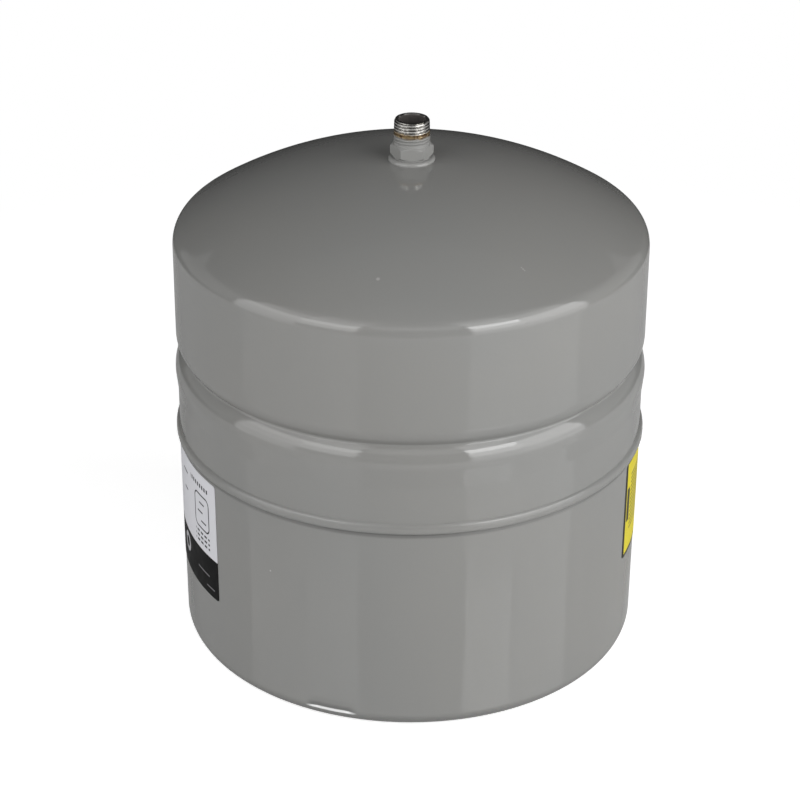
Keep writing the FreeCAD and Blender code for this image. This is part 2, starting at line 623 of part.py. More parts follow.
# Valve core: screwed plug, barrel and its gasket, and the sprung pin with its cup and seal
core_plug = on_base(turned("core_plug", [
    ("Places.pin_hole_x", "Places.plug_z"),
    ("Sizes.core_thread_radius - Sizes.core_fit", "Places.plug_z"),
    ("Sizes.core_thread_radius - Sizes.core_fit", "Places.plug_key_z"),
    ("Sizes.plug_key_radius", "Places.plug_key_z"),
    ("Sizes.plug_key_radius", "Places.plug_top_z"),
    ("Places.pin_hole_x", "Places.plug_top_z"),
]))
core_barrel = on_base(turned("core_barrel", [
    ("Places.pin_hole_x", "Places.barrel_z"),
    ("Sizes.barrel_radius", "Places.barrel_z"),
    ("Sizes.barrel_radius", "Places.plug_z"),
    ("Sizes.barrel_bore", "Places.plug_z"),
    ("Sizes.barrel_bore", "Places.barrel_seat_z"),
    ("Places.pin_hole_x", "Places.barrel_seat_z"),
]))
core_gasket = on_base(turned("core_gasket", [
    ("Sizes.barrel_radius + Sizes.crimp_fit", "Places.cone_foot_z"),
    ("Sizes.air_way_radius - Sizes.crimp_fit", "Places.cone_foot_z"),
    ("Sizes.core_thread_radius - Sizes.crimp_fit", "Places.cone_z"),
    ("Sizes.barrel_radius + Sizes.crimp_fit", "Places.cone_z"),
]))
core_pin = on_base(turned("core_pin", [
    ("0", "Places.pin_foot_z"),
    ("Sizes.pin_radius", "Places.pin_foot_z"),
    ("Sizes.pin_radius", "Places.collar_z"),
    ("Sizes.pin_collar_radius", "Places.collar_z"),
    ("Sizes.pin_collar_radius", "Places.collar_top_z"),
    ("Sizes.pin_radius", "Places.collar_top_z"),
    ("Sizes.pin_radius", "Places.pin_neck_z"),
    ("Sizes.pin_head_radius", "Places.pin_neck_z"),
    ("Sizes.pin_head_radius", "Places.pin_top_z"),
    ("0", "Places.pin_top_z"),
]))
core_cup = on_base(turned("core_cup", [
    ("Sizes.pin_radius + Sizes.crimp_fit", "Places.cup_z"),
    ("Sizes.cup_radius", "Places.cup_z"),
    ("Sizes.cup_radius", "Places.cup_top_z"),
    ("Sizes.cup_radius - Sizes.cup_wall", "Places.cup_top_z"),
    ("Sizes.cup_radius - Sizes.cup_wall", "Places.cup_z + Sizes.cup_wall"),
    ("Sizes.pin_radius + Sizes.crimp_fit", "Places.cup_z + Sizes.cup_wall"),
]))
core_seal = on_base(turned("core_seal", [
    ("Sizes.pin_radius + Sizes.crimp_fit", "Places.cup_z + Sizes.cup_wall + Sizes.crimp_fit"),
    ("Sizes.cup_radius - Sizes.cup_wall - Sizes.crimp_fit",
     "Places.cup_z + Sizes.cup_wall + Sizes.crimp_fit"),
    ("Sizes.cup_radius - Sizes.cup_wall - Sizes.crimp_fit", "Places.barrel_z - Sizes.crimp_fit"),
    ("Sizes.pin_radius + Sizes.crimp_fit", "Places.barrel_z - Sizes.crimp_fit"),
]))

# Core spring: round wire coiled between the barrel's floor and the pin's collar
core_spring = doc.addObject("PartDesign::Body", "core_spring")
wire = flat_on(core_spring, "core_spring_wire", "XZ_Plane")
circle = wire.addGeometry(Part.Circle(V(number("Places.spring_x"), number("Places.barrel_seat_z"), 0),
                                      V(0, 0, 1), number("Sizes.spring_wire / 2")))
for kind, ends, formula in (
        ("DistanceX", (-1, 1, circle, 3), "Places.spring_x"),
        ("DistanceY", (-1, 1, circle, 3), "Places.barrel_seat_z + Sizes.spring_wire / 2"),
        ("Radius", (circle,), "Sizes.spring_wire / 2")):
    held = wire.addConstraint(Sketcher.Constraint(kind, *ends, number(formula)))
    wire.setExpression("Constraints[%d]" % held, formula)
coil = core_spring.newObject("PartDesign::AdditiveHelix", "core_spring_coil")
coil.Profile = wire
coil.ReferenceAxis = (wire, ["V_Axis"])
coil.Mode = "height-turns-angle"
coil.setExpression("Height", "Places.spring_travel")
coil.setExpression("Turns", "Sizes.spring_turns")
on_base(core_spring)

# Valve cap: closed plastic cap with finger flutes, and the rubber washer inside it
valve_cap = turned("valve_cap", [
    ("Places.cap_bore_x", "Places.cap_skirt_z"),
    ("Places.cap_x", "Places.cap_skirt_z"),
    ("Places.cap_x", "Places.cap_end_z", "Sizes.cap_round"),
    ("0", "Places.cap_end_z"),
    ("0", "Places.cap_roof_z"),
    ("Places.cap_bore_x", "Places.cap_roof_z"),
])
flute = flat_on(valve_cap, "valve_cap_flute", "XY_Plane")
flute.setExpression("AttachmentOffset.Base.z", "Places.cap_end_z")
circle = flute.addGeometry(Part.Circle(V(number("Places.cap_flute_x"), 0, 0), V(0, 0, 1),
                                       number("Sizes.cap_flute_radius")))
flute.addConstraint(Sketcher.Constraint("PointOnObject", circle, 3, -1))
for kind, ends, formula in (
        ("DistanceX", (-1, 1, circle, 3), "Places.cap_flute_x"),
        ("Radius", (circle,), "Sizes.cap_flute_radius")):
    held = flute.addConstraint(Sketcher.Constraint(kind, *ends, number(formula)))
    flute.setExpression("Constraints[%d]" % held, formula)
groove = valve_cap.newObject("PartDesign::Pocket", "valve_cap_groove")
groove.Profile = flute
groove.setExpression("Length", "Places.cap_end_z - Places.cap_skirt_z - Sizes.cap_flute_start")
doc.recompute()
flutes = valve_cap.newObject("PartDesign::PolarPattern", "valve_cap_flutes")
flutes.Originals = [groove]
flutes.Axis = (flute, ["N_Axis"])
flutes.Angle = 360
flutes.setExpression("Occurrences", "Sizes.cap_flutes")
valve_cap.Tip = flutes
on_base(valve_cap)
cap_washer = on_base(turned("cap_washer", [
    ("0", "Places.washer_z"),
    ("Places.cap_bore_x - Sizes.washer_fit", "Places.washer_z"),
    ("Places.cap_bore_x - Sizes.washer_fit", "Places.washer_z + Sizes.washer_thick"),
    ("0", "Places.washer_z + Sizes.washer_thick"),
]))


def sticker(name, height, arc, bearing):
    """Thin label laid round the tapered lower wall, centred on its bearing, corners rounded."""
    body = doc.addObject("PartDesign::Body", name)
    sketch = flat_on(body, name + "_profile", "XZ_Plane")
    bottom = "Places.label_top_z - " + height
    wall_low = "Sizes.shell_radius - (Sizes.lower_wall - (%s)) * Places.wall_slope" % bottom
    wall_top = "Sizes.shell_radius - Sizes.label_top_gap * Places.wall_slope"
    outline = Outline(sketch)
    outline.corner(wall_low + " + Sizes.label_gap", bottom)
    outline.corner(wall_low + " + Sizes.label_gap + Sizes.label_thick", bottom)
    outline.corner(wall_top + " + Sizes.label_gap + Sizes.label_thick", "Places.label_top_z")
    outline.corner(wall_top + " + Sizes.label_gap", "Places.label_top_z")
    outline.draw()
    wrap = body.newObject("PartDesign::Revolution", name + "_wrap")
    wrap.Profile = sketch
    wrap.ReferenceAxis = (sketch, ["V_Axis"])
    wrap.Midplane = True
    wrap.setExpression("Angle", arc)
    doc.recompute()
    thin = number("Sizes.label_thick")
    short = ["Edge%d" % (k + 1) for k, edge in enumerate(wrap.Shape.Edges)
             if edge.Length < 2 * thin]
    trim = body.newObject("PartDesign::Fillet", name + "_corners")
    trim.Base = (wrap, short)
    trim.setExpression("Radius", "Sizes.label_corner")
    body.setExpression("Placement.Rotation.Angle", bearing)
    doc.recompute()
    return body


main_label = sticker("main_label", "Sizes.main_height", "Sizes.main_arc", "Sizes.main_bearing")
side_label = sticker("side_label", "Sizes.side_height", "Sizes.side_arc", "Sizes.side_bearing")

doc.recompute()
pieces = [upper_shell, lower_shell, seam_weld, diaphragm, clench_ring, system_nipple, valve_boss,
          valve_stem, core_plug, core_barrel, core_gasket, core_pin, core_cup, core_seal,
          core_spring, valve_cap, cap_washer, main_label, side_label]
for item in doc.Objects:
    if {"Invalid", "Error"} & set(item.State):
        raise RuntimeError("%s did not build: %s" % (item.Label, item.State))
for piece in pieces:
    if piece.Shape.isNull() or not piece.Shape.isValid() or len(piece.Shape.Solids) != 1:
        raise RuntimeError("%s has no sound solid" % piece.Label)
os.makedirs("parts", exist_ok=True)
for piece in pieces:
    piece.Shape.exportStep("parts/%s.step" % piece.Label)
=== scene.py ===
import math

import bpy
import numpy as np
from mathutils import Matrix, Vector


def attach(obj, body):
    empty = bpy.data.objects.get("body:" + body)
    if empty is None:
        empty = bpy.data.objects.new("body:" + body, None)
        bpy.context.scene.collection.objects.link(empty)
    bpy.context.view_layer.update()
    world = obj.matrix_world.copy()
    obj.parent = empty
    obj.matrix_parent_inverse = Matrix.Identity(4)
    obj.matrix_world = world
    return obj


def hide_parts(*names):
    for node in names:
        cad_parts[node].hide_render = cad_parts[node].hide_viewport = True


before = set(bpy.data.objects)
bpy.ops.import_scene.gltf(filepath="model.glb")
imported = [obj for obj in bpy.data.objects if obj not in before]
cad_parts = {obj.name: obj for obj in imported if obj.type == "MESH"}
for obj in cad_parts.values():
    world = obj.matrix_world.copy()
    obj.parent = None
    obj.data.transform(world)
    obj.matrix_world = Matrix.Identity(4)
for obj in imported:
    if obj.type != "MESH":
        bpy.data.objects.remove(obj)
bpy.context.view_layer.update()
mm = 0.001


# Profiles: radius and height in millimetres, turned about the tank's axis

# Points along the shorter arc from start to end about a centre
def bow(start, end, centre, step):
    first = math.atan2(start[1] - centre[1], start[0] - centre[0])
    last = math.atan2(end[1] - centre[1], end[0] - centre[0])
    turn = (last - first + math.pi) % (2 * math.pi) - math.pi
    radius = math.hypot(start[0] - centre[0], start[1] - centre[1])
    count = max(3, int(abs(turn) * radius / step), int(abs(turn) / 0.08))
    angles = [first + turn * k / count for k in range(count + 1)]
    return [(centre[0] + radius * math.cos(a), centre[1] + radius * math.sin(a)) for a in angles]


# Walks (radius, height, rounding, arc) corners. An arc leaves its corner for the next one,
# with its centre to the left of the way, or to the right if its radius is negative
def tracePath(corners, step=3.0):
    points = [np.array(c[:2], float) for c in corners]
    ends = []
    for index, corner in enumerate(corners):
        here = points[index]
        rounding = corner[2] if len(corner) > 2 else None
        if not rounding:
            ends.append((here, here, None))
            continue
        before = points[index - 1] - here
        after = points[index + 1] - here
        before /= np.linalg.norm(before)
        after /= np.linalg.norm(after)
        half = math.acos(float(before @ after)) / 2
        middle = before + after
        middle /= np.linalg.norm(middle)
        run = rounding / math.tan(half)
        centre = here + middle * rounding / math.sin(half)
        ends.append((here + before * run, here + after * run, centre))
    path = []
    for index, corner in enumerate(corners):
        begin, leave, centre = ends[index]
        path += [tuple(begin)] if centre is None else bow(begin, leave, centre, step * 0.4)
        if index + 1 == len(corners):
            break
        arrive = ends[index + 1][0]
        radius = corner[3] if len(corner) > 3 else None
        if radius:
            along = arrive - leave
            left = np.array([-along[1], along[0]]) / np.linalg.norm(along)
            left *= math.copysign(1, radius)
            rise = math.sqrt(radius ** 2 - (along @ along) / 4)
            path += bow(leave, arrive, (leave + arrive) / 2 + left * rise, step)[1:-1]
        else:
            count = max(1, int(np.linalg.norm(arrive - leave) / step))
            path += [tuple(leave + (arrive - leave) * k / count) for k in range(1, count)]
    kept = [path[0]]
    for point in path[1:]:
        if math.dist(point, kept[-1]) > 1e-4:
            kept.append(point)
    return kept


# The same path moved by depth to the left of its way
def inside(path, depth):
    line = np.array(path)
    way = np.gradient(line, axis=0)
    way /= np.linalg.norm(way, axis=1)[:, None]
    return [tuple(p) for p in line + np.stack([-way[:, 1], way[:, 0]], axis=1) * depth]


def finishMesh(name, points, faces, sharp=38):
    mesh = bpy.data.meshes.new(name)
    mesh.from_pydata((np.asarray(points) * mm).tolist(), [], faces)
    mesh.validate()
    mesh.shade_smooth()
    mesh.set_sharp_from_angle(angle=math.radians(sharp))
    piece = bpy.data.objects.new(name, mesh)
    bpy.context.scene.collection.objects.link(piece)
    return piece


# Turns a closed loop. form(bearing, radius, height) gives the radii at every bearing
def turnedPiece(name, loop, segments, form=None, sharp=38):
    loop = np.array(loop)
    bearing = np.linspace(0, 2 * math.pi, segments, endpoint=False)
    radius = np.repeat(loop[:, :1], segments, axis=1)
    height = np.repeat(loop[:, 1:], segments, axis=1)
    if form:
        radius = form(bearing[None, :], radius, height)
    points = np.stack([radius * np.cos(bearing), radius * np.sin(bearing), height], axis=2)
    faces = []
    count = len(loop)
    for row in range(count):
        after = (row + 1) % count
        for k in range(segments):
            turn = (k + 1) % segments
            faces.append((row * segments + k, row * segments + turn,
                          after * segments + turn, after * segments + k))
    return finishMesh(name, points.reshape(-1, 3), faces, sharp)


# Bearing from the front of the tank, positive to the viewer's right, in degrees
def fromFront(x, y):
    return np.degrees(np.arctan2(x, -y))


def swell(value, low, high):
    t = np.clip((value - low) / (high - low), 0, 1)
    return t * t * (3 - 2 * t)


# Upper shell: crown, knuckle, wall, rolled groove, band and skirt
upper = {
    "sheet": 1.2, "hole": 10.5, "seat": (14.2, 306.767), "crown": 252.5, "knuckle": 12.0,
    "crownEnd": (136.329, 267.2006), "wall": 141.85, "wallTop": 257.1, "curl": 195.5,
    "curlRound": 15.5, "root": (137.0, 189.6), "rootRound": 1.5, "shoulder": (142.58, 183.7),
    "shoulderRound": 17.0, "crest": (142.75, 175.8), "crestRound": 15.0,
    "bandFoot": (141.45, 164.2), "bandFootRound": 30.0, "hem": 134.9, "segments": 360,
}
outer = tracePath([
    (upper["hole"], upper["seat"][1]),
    (*upper["seat"], None, -upper["crown"]),
    (*upper["crownEnd"], None, -upper["knuckle"]),
    (upper["wall"], upper["wallTop"]),
    (upper["wall"], upper["curl"], upper["curlRound"]),
    (*upper["root"], upper["rootRound"]),
    (*upper["shoulder"], upper["shoulderRound"]),
    (*upper["crest"], upper["crestRound"]),
    (*upper["bandFoot"], upper["bandFootRound"]),
    (upper["bandFoot"][0], upper["hem"]),
])
loop = outer + inside(outer, -upper["sheet"])[::-1]
upperShell = turnedPiece("upperShell", loop, upper["segments"])
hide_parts("upper_shell")
print("upper shell")

# Lower shell: dished base, standing foot with one dent, tapered wall and joggled neck
lower = {
    "sheet": 1.2, "hole": 8.1, "seat": (13.3, 24.5434), "dish": 330.0, "dishEnd": (123.75, 0.7298),
    "foot": 10.0, "land": (127.5, 130.5), "footEnd": (140.4997, 9.926), "wall": (141.4, 131.5),
    "neck": (140.15, 134.3), "joggle": 1.5, "neckTop": 148.9, "segments": 408,
    "dentFrom": -25.2, "dentTo": -13.2, "dentHeight": 8.6, "dentDepth": 1.6,
    # how far the dent runs below and above its crease, and where its ends fade, in half lengths
    "dentBelow": 1.6, "dentAbove": 6.0, "dentFade": (0.55, 1.25), "dentFrontOf": 131,
}
outer = tracePath([
    (lower["hole"], lower["seat"][1]),
    (*lower["seat"], None, -lower["dish"]),
    (*lower["dishEnd"], None, lower["foot"]),
    (lower["land"][0], 0),
    (lower["land"][1], 0, None, lower["foot"]),
    lower["footEnd"],
    (*lower["wall"], lower["joggle"]),
    (*lower["neck"], lower["joggle"]),
    (lower["neck"][0], lower["neckTop"]),
])


# Pushes a short crease into the foot: steep below, easing out above
def dentedFoot(bearing, radius, height):
    front = fromFront(np.cos(bearing), np.sin(bearing))
    middle = (lower["dentFrom"] + lower["dentTo"]) / 2
    half = (lower["dentTo"] - lower["dentFrom"]) / 2
    along = 1 - swell(np.abs(front - middle), *(half * fade for fade in lower["dentFade"]))
    rise = height - lower["dentHeight"]
    across = np.where(rise < 0, 1 - swell(-rise, 0.0, lower["dentBelow"]),
                      1 - swell(rise, 0.0, lower["dentAbove"]))
    outside = radius > lower["dentFrontOf"]
    return radius - lower["dentDepth"] * along * across * outside


loop = outer + inside(outer, lower["sheet"])[::-1]
lowerShell = turnedPiece("lowerShell", loop, lower["segments"], dentedFoot)
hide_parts("lower_shell")
print("lower shell")

# Weld bead over the skirt's hem: crisp upper toe, rippled crown and a slightly ragged lower edge
weld = {
    "neck": 140.15, "skirt": 141.45, "hem": 134.9, "low": (143.42, 135.2), "top": (142.7, 140.2),
    "toe": 141.1, "round": 7.0, "root": 0.2, "lip": 0.25, "segments": 1080,
    "ripple": 0.14, "ragged": 0.35, "raggedRise": (135.0, 138.5), "proud": 0.4, "deepest": 0.8,
    # waves round the bead: how many, phase, and what their height is divided by
    "waves": ((7, 0.4, 3), (19, 2.1, 4), (43, 1.0, 5), (97, 4.4, 6), (181, 0.7, 8), (263, 3.3, 10)),
}
lapFace = tracePath([
    (weld["neck"], weld["hem"] - weld["root"]),
    (weld["low"][0] - weld["lip"], weld["low"][1] - weld["root"]),
    (*weld["low"], None, weld["round"]),
    weld["top"],
    (weld["skirt"], weld["toe"]),
    (weld["skirt"], weld["hem"]),
    (weld["neck"], weld["hem"]),
], step=0.6)


# Uneven torch passes round the bead, only ever inwards from its full size
def weldRipple(bearing, radius, height):
    wander = sum(np.sin(bearing * count + phase) / part for count, phase, part in weld["waves"])
    lowSide = 1 - swell(height, *weld["raggedRise"])
    proud = radius > weld["skirt"] + weld["proud"]
    bite = weld["ripple"] * (1 + wander) / 2 + weld["ragged"] * lowSide * (0.5 + 0.5 * wander)
    return radius - np.clip(bite, 0, weld["deepest"]) * proud


seamWeld = turnedPiece("seamWeld", lapFace, weld["segments"], weldRipple, sharp=50)
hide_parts("seam_weld")
print("weld")

# System nipple: flange, collar, hexagon and half inch taper thread
nipple = {
    "base": 306.767, "flange": 13.9, "flangeTop": 2.1, "flangeRound": 1.9, "collar": 11.0,
    "hexFoot": 2.5, "hexTop": 10.2, "flats": 22.225, "bevel": 1.6, "tip": 25.2, "tipRadius": 10.36,
    "taper": 0.03125, "pitch": 1.814, "threadDepth": 1.05, "tipBevel": 0.9, "tipReach": 0.6,
    "port": 7.5, "portBevel": 0.8, "pilot": 10.4, "sheet": 1.2, "segments": 192,
    # height between the thread's rows of points, the share of the pitch that is flat crest, and
    # how far above the hexagon the thread starts and reaches its depth
    "row": 0.085, "crestShare": 0.35, "runOut": (0.2, 2.6), "bevelRows": 9,
}
hexCorner = nipple["flats"] / math.sqrt(3)
flangeEdge = tracePath([
    (nipple["pilot"], 0),
    (nipple["flange"], 0),
    (nipple["flange"], nipple["flangeTop"], nipple["flangeRound"]),
    (nipple["collar"], nipple["flangeTop"]),
    (nipple["collar"], nipple["hexFoot"]),
], step=0.5)
bevelRise = (hexCorner - nipple["collar"]) / nipple["bevel"]
bevelRun = np.linspace(0, nipple["bevel"], nipple["bevelRows"])
hexFoot = [(nipple["collar"] + bevelRise * t, nipple["hexFoot"] + t) for t in bevelRun]
hexTop = [(nipple["collar"] + bevelRise * t, nipple["hexTop"] - t) for t in bevelRun[::-1]]
rows = np.arange(nipple["hexTop"] + 0.02, nipple["tip"] - 0.01, nipple["row"])
threadRows = [(0.0, row) for row in rows]
bore = tracePath([
    (nipple["tipRadius"] - nipple["tipReach"], nipple["tip"]),
    (nipple["port"] + nipple["portBevel"], nipple["tip"]),
    (nipple["port"], nipple["tip"] - nipple["portBevel"]),
    (nipple["port"], -nipple["sheet"]),
    (nipple["pilot"], -nipple["sheet"]),
], step=1.5)
loop = flangeEdge + hexFoot + hexTop + threadRows + bore
loop = [(r, h + nipple["base"]) for r, h in loop]
hexSpan = (len(flangeEdge), len(flangeEdge) + len(hexFoot) + len(hexTop))
threadSpan = (hexSpan[1], hexSpan[1] + len(threadRows))


def hexagonAndThread(bearing, radius, height):
    radius = radius.copy()
    flat = nipple["flats"] / 2 / np.cos((bearing % (math.pi / 3)) - math.pi / 6)
    rows = slice(*hexSpan)
    radius[rows] = np.minimum(radius[rows], flat)
    rows = slice(*threadSpan)
    rise = height[rows] - nipple["base"]
    crest = nipple["tipRadius"] + nipple["taper"] * (nipple["tip"] - rise)
    phase = (rise / nipple["pitch"] - bearing / (2 * math.pi)) % 1
    share = nipple["crestShare"]
    tooth = np.clip((2 * np.abs(phase - 0.5) - share) / (1 - share), 0, 1)
    runOut = swell(rise, *(nipple["hexTop"] + above for above in nipple["runOut"]))
    cut = crest - nipple["threadDepth"] * tooth * runOut
    bevel = (nipple["tipRadius"] - nipple["tipReach"]
             + (nipple["tip"] - rise) * nipple["tipReach"] / nipple["tipBevel"])
    radius[rows] = np.minimum(cut, bevel)
    return radius


systemNipple = turnedPiece("systemNipple", loop, nipple["segments"], hexagonAndThread, sharp=30)
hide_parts("system_nipple")
print("nipple")


sticker = {
    "radius": 141.3, "taper": 0.0074, "corner": 2.0, "cornerRows": (0, 0.15, 0.4, 0.8, 1.3, 2.0),
    "rows": 24, "columns": 64,
}


def labelWidth(label):
    return label["arc"] * math.pi / 180 * sticker["radius"]


# Stickers on the lower wall: thin film with rounded corners that follows the taper. Each has a
# chart, its own map: across in mm from its right edge, and up in mm
def stickerPiece(name, label):
    drop = label["top"] - label["height"]
    corner = sticker["corner"]
    rows = list(sticker["cornerRows"])
    rows += list(np.linspace(corner, label["height"] - corner, sticker["rows"])[1:-1])
    rows += [label["height"] - row for row in sticker["cornerRows"][::-1]]
    columns = sticker["columns"]
    across = labelWidth(label)
    points, spots = [], []
    for lift in (label["gap"] + label["thick"], label["gap"]):
        for up in rows:
            edge = min(up, label["height"] - up)
            tuck = corner - math.sqrt(corner ** 2 - max(corner - edge, 0.0) ** 2)
            below = lower["wall"][1] - drop - up
            wall = lower["wall"][0] - below * sticker["taper"] + lift
            for k in range(columns + 1):
                along = tuck + (across - 2 * tuck) * k / columns
                bearing = math.radians(label["rightEdge"]) - along / sticker["radius"]
                points.append((wall * math.sin(bearing), -wall * math.cos(bearing), drop + up))
                spots.append((along, up))
    width = columns + 1
    layer = width * len(rows)
    faces = []
    for row in range(len(rows) - 1):
        for k in range(columns):
            a = row * width + k
            faces.append((a, a + width, a + width + 1, a + 1))
            faces.append((layer + a, layer + a + 1, layer + a + width + 1, layer + a + width))
    rim = [k for k in range(width)]
    rim += [row * width + columns for row in range(1, len(rows))]
    rim += [(len(rows) - 1) * width + k for k in range(columns - 1, -1, -1)]
    rim += [row * width for row in range(len(rows) - 2, 0, -1)]
    for a, b in zip(rim, rim[1:] + rim[:1]):
        faces.append((a, b, layer + b, layer + a))
    piece = finishMesh(name, points, faces)
    chart = piece.data.uv_layers.new(name="chart")
    corners = [spots[loop.vertex_index] for loop in piece.data.loops]
    chart.data.foreach_set("uv", np.array(corners, np.float32).ravel())
    return piece


mainLabel = {
    "top": 131.0, "height": 80.0, "rightEdge": -54.5, "arc": 61.6, "thick": 0.25, "gap": 0.05,
    "split": 27.4,
}
mainSticker = stickerPiece("mainSticker", mainLabel)
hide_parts("main_label")
sideLabel = {
    "top": 131.0, "height": 64.6, "rightEdge": 108.5, "arc": 41.2, "thick": 0.25, "gap": 0.05,
}
sideSticker = stickerPiece("sideSticker", sideLabel)
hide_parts("side_label")
print("stickers")


# Materials
class Signal:
    # A socket in a node tree, used in sums like a number, a vector or a colour
    def __init__(self, tree, socket=None):
        self.tree = tree
        self.socket = socket

    def add(self, kind, settings=None, values=None, output=0):
        # Any other node, from its type, properties and input values
        node = self.tree.nodes.new(kind)
        for name, value in (settings or {}).items():
            setattr(node, name, value)
        for key, value in (values or {}).items():
            if isinstance(value, Signal):
                self.tree.links.new(value.socket, node.inputs[key])
            else:
                node.inputs[key].default_value = value
        return Signal(self.tree, node.outputs[output] if len(node.outputs) else None)

    def wide(self):
        return self.socket.type in ("VECTOR", "RGBA")

    def reckon(self, operation, *others, swap=False):
        terms = [self, *others]
        if swap:
            terms.reverse()
        if any(isinstance(t, Signal) and t.wide() for t in terms):
            terms = [t if isinstance(t, (Signal, tuple)) else (t, t, t) for t in terms]
            kind = "ShaderNodeVectorMath"
        else:
            kind = "ShaderNodeMath"
        return self.add(kind, {"operation": operation}, dict(enumerate(terms)))

    def __add__(self, other):
        return self.reckon("ADD", other)

    __radd__ = __add__

    def __mul__(self, other):
        return self.reckon("MULTIPLY", other)

    __rmul__ = __mul__

    def __sub__(self, other):
        return self.reckon("SUBTRACT", other)

    def __rsub__(self, other):
        return self.reckon("SUBTRACT", other, swap=True)

    def __truediv__(self, other):
        return self.reckon("DIVIDE", other)

    def __abs__(self):
        return self.reckon("ABSOLUTE")

    def __lt__(self, other):
        return self.reckon("LESS_THAN", other)

    def __gt__(self, other):
        return self.reckon("GREATER_THAN", other)

    def __mod__(self, other):
        return self.reckon("FLOORED_MODULO", other)

    def least(self, other):
        return self.reckon("MINIMUM", other)

    def most(self, other):
        return self.reckon("MAXIMUM", other)

    def length(self):
        return self.add("ShaderNodeVectorMath", {"operation": "LENGTH"}, {0: self}, output=1)

    def ease(self, low, high, start=0.0, end=1.0):
        return self.add("ShaderNodeMapRange", {"interpolation_type": "SMOOTHSTEP"}, {
            "Value": self, "From Min": low, "From Max": high, "To Min": start, "To Max": end})

    def blend(self, bottom, top):
        return self.add("ShaderNodeMix", {"data_type": "RGBA"},
                        {0: self, 6: bottom, 7: top}, output=2)

    def part(self, axis):
        return self.add("ShaderNodeSeparateXYZ", None, {0: self}, output="XYZ".index(axis))

    def noise(self, scale, detail=3.0, rough=0.5):
        return self.add("ShaderNodeTexNoise", None, {
            "Vector": self, "Scale": scale, "Detail": detail, "Roughness": rough})

    def bump(self, height, strength=0.3):
        return self.add("ShaderNodeBump", None, {"Height": height, "Strength": strength,
                                                 "Distance": 1.0})


def rgb(red, green, blue):
    return (red, green, blue, 1.0)


def newMaterial(name):
    material = bpy.data.materials.new(name)
    material.use_nodes = True
    tree = material.node_tree
    tree.nodes.clear()
    start = Signal(tree)
    place = start.add("ShaderNodeTexCoord", output=3)
    return material, start, place


def reach(across, up):
    return (across * across + up * up).reckon("POWER", 0.5)


# Principled surface from named inputs, underscores standing for spaces
def surface(start, **inputs):
    values = {key.replace("_", " "): value for key, value in inputs.items()}
    shader = start.add("ShaderNodeBsdfPrincipled", None, values)
    start.add("ShaderNodeOutputMaterial", None, {"Surface": shader})


def give(piece, material):
    piece.data.materials.clear()
    piece.data.materials.append(material)


paint = {
    "grey": rgb(0.208, 0.209, 0.202), "warm": rgb(0.213, 0.212, 0.203),
    "grain": rgb(0.19, 0.19, 0.185), "pale": rgb(0.42, 0.42, 0.40),
    # the three dark colours are painted shade (weld crevice, foot, dent); the bare one is a painted
    # glint
    "creviceShade": rgb(0.05, 0.05, 0.048), "foot": rgb(0.06, 0.06, 0.057),
    "shade": rgb(0.08, 0.08, 0.078), "bare": rgb(0.72, 0.72, 0.72), "rough": 0.07,
    # chips and specks: place in mm, size in mm, how strong
    "specks": [((-81.6, -115.6, 93.94), 0.9, 0.8), ((35.4, -137.0, 135.1), 0.7, 0.9),
               ((-18.6, -111.5, 280.5), 1.5, 0.45), ((62.2, -95.8, 279.85), 0.6, 0.7),
               ((61.3, -95.0, 280.4), 0.5, 0.6), ((63.1, -96.6, 279.3), 0.5, 0.6)],
}


# Semi-gloss grey enamel with orange peel, faint tone drift and a few chips; painted shade in the
# crevice under the weld and towards the foot, and painted shade and a painted glint along the dent
def enamel(name, weldGrain=False):
    material, start, place = newMaterial(name)
    drift = place.noise(9.0, 2.0).ease(0.35, 0.65)
    tone = drift.blend(paint["grey"], paint["warm"])
    grain = place.noise(900.0, 2.0)
    tone = grain.ease(0.3, 0.7, 0.0, 0.10).blend(tone, paint["grain"])
    for spot, size, strength in paint["specks"]:
        away = (place - tuple(c * mm for c in spot)).length()
        tone = away.ease(size * mm * 0.4, size * mm, strength, 0.0).blend(tone, paint["pale"])
    rise = place.part("Z") / mm
    # painted shade: a band under the weld bead is darkened for the shade in its crevice, and made
    # rougher
    shadedCrevice = rise.ease(131.0, 132.0) * rise.ease(136.0, 135.0)
    tone = (shadedCrevice * 0.35).blend(tone, paint["creviceShade"])
    # painted shade: the tone darkens towards the foot, standing in for its contact shadow
    tone = (rise.ease(11.0, 1.0) * 0.6).blend(tone, paint["foot"])
    side = place.part("X") / mm
    # painted shade above the dent's crease, and a painted glint: a thin pale line just below it
    dent = side.ease(-62.0, -57.0) * side.ease(-30.0, -36.0) * (place.part("Y") < 0.0)
    shaded = dent * rise.ease(7.9, 8.7) * rise.ease(13.0, 9.0) * 0.55
    dentGlint = dent * rise.ease(6.9, 7.3) * rise.ease(8.4, 8.0)
    tone = dentGlint.blend(shaded.blend(tone, paint["shade"]), paint["bare"])
    peel = place.noise(260.0, 2.0, 0.45) * 0.000016
    wave = place.noise(28.0, 1.0) * 0.00010
    height = peel + wave
    if weldGrain:
        height = height + place.noise(1400.0, 3.0) * 0.00012
    worn = place.noise(60.0, 2.0)
    rough = worn.ease(0.3, 0.7, paint["rough"] - 0.02, paint["rough"] + 0.03) + shadedCrevice * 0.5
    surface(start, Base_Color=tone, Roughness=rough, Normal=place.bump(height, 1.0))
    return material


shellPaint = enamel("shellPaint")
weldPaint = enamel("weldPaint", weldGrain=True)
give(upperShell, shellPaint)
give(lowerShell, shellPaint)
give(seamWeld, weldPaint)


